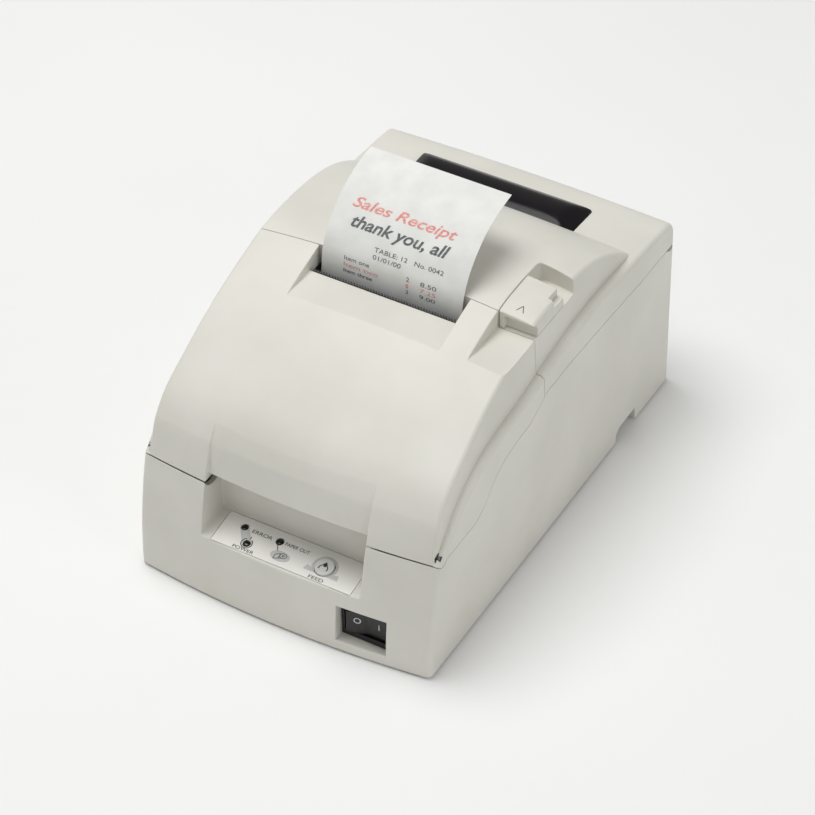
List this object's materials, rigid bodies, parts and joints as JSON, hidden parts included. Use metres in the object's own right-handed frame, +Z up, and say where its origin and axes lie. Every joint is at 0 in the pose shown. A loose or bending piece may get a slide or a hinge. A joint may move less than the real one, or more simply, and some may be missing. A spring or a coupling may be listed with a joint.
{
  "type": "receipt printer",
  "caption": "Free-standing dot-impact receipt printer with a hinged front cover, a hinged roll cover, a sliding release lever, a sunk control panel and a drop-in paper roll.",
  "frame": {"origin": "bottom centre of the box around the printer, on the table under the feet", "axes": "+X to the viewer's right when facing the control panel, +Y from the front towards the rear, +Z up"},
  "size_m": [0.16, 0.248, 0.1652],
  "materials": {
    "case_abs": "fine moulded texture, warm white",
    "panel_film": "printed satin film",
    "led_lens": "dark unlit lens",
    "button_grey": "satin grey",
    "switch_black": "satin black",
    "smoked_window": "smoked translucent",
    "steel": "ground",
    "zinc_plate": "zinc plated",
    "paper": "uncoated receipt paper",
    "core_card": "moulded core",
    "circuit_board": "solder mask green",
    "dark_plastic": "moulded black",
    "ink_ribbon": "inked nylon",
    "rubber": "matt rubber",
    "motor_steel": "drawn can",
    "nylon": "natural nylon"
  },
  "bodies": {
    "root": {"bottom_plate": "zinc_plate", "carriage_belt": "rubber", "carriage_motor": "motor_steel", "carriage_shaft": "steel", "case_screw_front_left": "zinc_plate", "case_screw_front_right": "zinc_plate", "case_screw_rear_left": "zinc_plate", "case_screw_rear_right": "zinc_plate", "connector_plate": "zinc_plate", "control_board": "circuit_board", "control_panel": "panel_film", "drawer_socket": "dark_plastic", "feed_motor": "motor_steel", "feed_switch": "dark_plastic", "foot_front_left": "rubber", "foot_front_right": "rubber", "foot_rear_left": "rubber", "foot_rear_right": "rubber", "ground_screw": "zinc_plate", "idler_post": "steel", "ink_ribbon": "ink_ribbon", "interface_connector": "dark_plastic", "led_error": "led_lens", "led_paper_out": "led_lens", "led_power": "led_lens", "lower_case": "case_abs", "mechanism_frame": "zinc_plate", "panel_board": "circuit_board", "paper_bin": "dark_plastic", "power_inlet": "dark_plastic", "power_switch": "switch_black", "ribbon_cassette": "dark_plastic"},
    "front_cover": {"front_cover": "case_abs", "front_cover_pin_left": "steel", "front_cover_pin_right": "steel", "tear_bar": "steel"},
    "roll_cover": {"roll_cover": "case_abs", "roll_cover_pin_left": "steel", "roll_cover_pin_right": "steel", "roll_window": "smoked_window", "platen": "rubber", "paper_strip": "paper"},
    "lever": {"cover_open_lever": "case_abs", "latch_hook": "steel"},
    "pressure_roller": {"pressure_roller": "rubber"},
    "feed_button": {"feed_button": "button_grey"},
    "power_rocker": {"power_rocker": "switch_black"},
    "print_head": {"print_head": "dark_plastic"},
    "drive_pulley": {"drive_pulley": "nylon"},
    "idler_pulley": {"idler_pulley": "nylon"},
    "feed_roller": {"feed_roller": "rubber", "feed_gear": "nylon"},
    "motor_pinion": {"motor_pinion": "nylon"},
    "ribbon_knob": {"ribbon_knob": "nylon"},
    "paper_roll": {"paper_roll": "paper", "roll_core": "core_card"},
    "near_end_lever": {"near_end_lever": "nylon"}
  },
  "joints": [
    {"name": "front_cover_hinge", "type": "hinge", "parent": "root", "child": "front_cover", "pos_m": [0, -0.106, 0.0675], "axis": [1, 0, 0], "range_deg": [0, 70]},
    {"name": "roll_cover_hinge", "type": "hinge", "parent": "root", "child": "roll_cover", "pos_m": [0, 0.12, 0.092], "axis": [-1, 0, 0], "range_deg": [0, 70]},
    {"name": "lever_slide", "type": "slide", "parent": "roll_cover", "child": "lever", "axis": [0, 1, 0], "range_m": [0, 0.006], "stiffness_N_per_m": 300, "springref_m": -0.002},
    {"name": "pressure_roller_spin", "type": "hinge", "parent": "roll_cover", "child": "pressure_roller", "pos_m": [0, -0.0092, 0.07], "axis": [1, 0, 0], "continuous": true},
    {"name": "feed_button_press", "type": "slide", "parent": "root", "child": "feed_button", "axis": [0, 0.1562, -0.9877], "range_m": [0, 0.0008], "stiffness_N_per_m": 400, "springref_m": -0.0005},
    {"name": "power_rocker_tilt", "type": "hinge", "parent": "root", "child": "power_rocker", "pos_m": [0.0443, -0.1126, 0.017], "axis": [0, 0, 1], "range_deg": [-16, 0]},
    {"name": "print_head_slide", "type": "slide", "parent": "root", "child": "print_head", "axis": [1, 0, 0], "range_m": [-0.027, 0.027]},
    {"name": "drive_pulley_spin", "type": "hinge", "parent": "root", "child": "drive_pulley", "pos_m": [-0.05, -0.06, 0.05], "axis": [0, 0, 1], "range_deg": [-260, 260]},
    {"name": "idler_pulley_spin", "type": "hinge", "parent": "root", "child": "idler_pulley", "pos_m": [0.05, -0.06, 0.05], "axis": [0, 0, 1], "range_deg": [-260, 260]},
    {"name": "feed_roller_spin", "type": "hinge", "parent": "root", "child": "feed_roller", "pos_m": [0, -0.021, 0.07], "axis": [1, 0, 0], "continuous": true},
    {"name": "motor_pinion_spin", "type": "hinge", "parent": "root", "child": "motor_pinion", "pos_m": [0, -0.02892, 0.04734], "axis": [1, 0, 0], "continuous": true},
    {"name": "ribbon_knob_turn", "type": "hinge", "parent": "root", "child": "ribbon_knob", "pos_m": [-0.042, -0.068, 0.095], "axis": [0, 0, 1], "continuous": true},
    {"name": "paper_roll_spin", "type": "hinge", "parent": "root", "child": "paper_roll", "pos_m": [-0.00375, 0.052, 0.06], "axis": [1, 0, 0], "continuous": true},
    {"name": "near_end_lever_tilt", "type": "hinge", "parent": "root", "child": "near_end_lever", "pos_m": [0.036, 0.022, 0.0405], "axis": [1, 0, 0], "range_deg": [0, 10]}
  ],
  "couplings": [
    {"joint": "drive_pulley_spin", "follows": "print_head_slide", "rad_per_m": -166.67},
    {"joint": "idler_pulley_spin", "follows": "print_head_slide", "rad_per_m": -166.67},
    {"joint": "motor_pinion_spin", "follows": "feed_roller_spin", "ratio": -3},
    {"joint": "pressure_roller_spin", "follows": "feed_roller_spin", "ratio": -1.3333}
  ]
}
